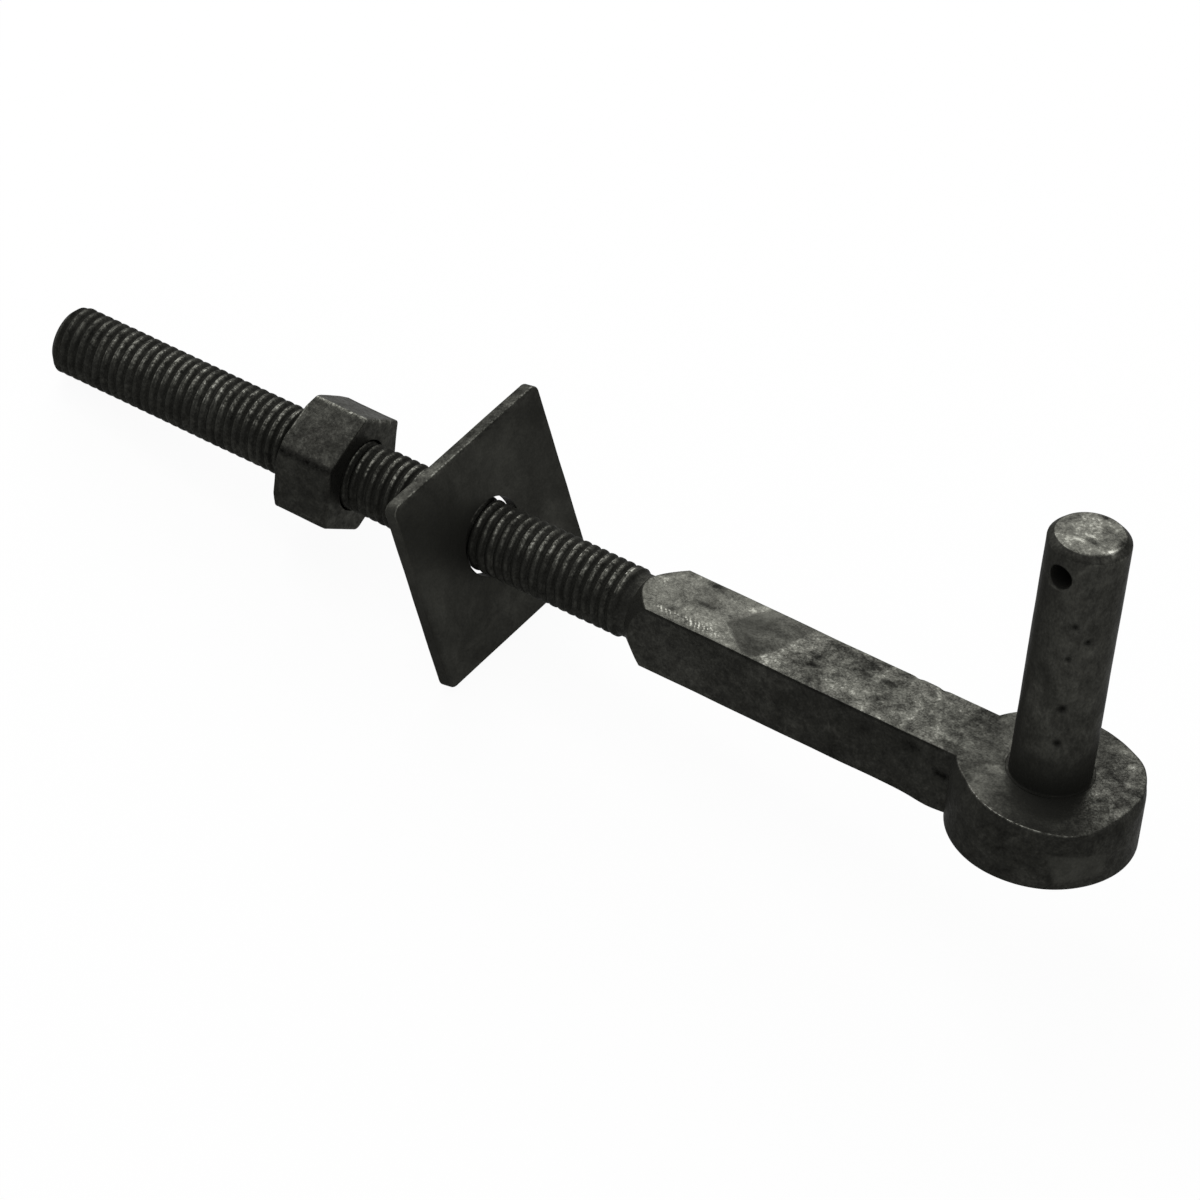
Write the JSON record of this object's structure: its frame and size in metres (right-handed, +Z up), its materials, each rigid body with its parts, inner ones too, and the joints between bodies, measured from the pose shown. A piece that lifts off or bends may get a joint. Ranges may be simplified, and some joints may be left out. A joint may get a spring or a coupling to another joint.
{
  "type": "gate hook bolt",
  "caption": "Forged gate hook bolt: an upright hinge pin on a round boss, a square shank and a threaded rod with a square plate washer and a hexagon nut.",
  "frame": {"origin": "where the hinge pin's axis meets the flat top of the boss", "axes": "+Z up the hinge pin; X along the rod, with the threaded end towards -X; Y across the bar"},
  "size_m": [0.3037, 0.0613, 0.1066],
  "materials": {
    "forged_bar": "black forge scale, lightly oiled, mottled grey where worn",
    "turned_pin": "black oiled round bar with fine turning marks and small pits",
    "washer_plate": "black mill scale on flat plate",
    "nut_steel": "black scale, mottled grey, bright on its edges"
  },
  "bodies": {
    "hook": {"hook_bar": "forged_bar", "hinge_pin": "turned_pin"},
    "washer": {"plate_washer": "washer_plate"},
    "nut": {"hex_nut": "nut_steel"}
  },
  "joints": [
    {"name": "nut_travel", "type": "slide", "parent": "hook", "child": "nut", "axis": [1, 0, 0], "range_m": [-0.0725, 0.0275]},
    {"name": "washer_turn", "type": "hinge", "parent": "hook", "child": "washer", "pos_m": [-0.15515, 0, -0.0085], "axis": [1, 0, 0], "continuous": true}
  ]
}
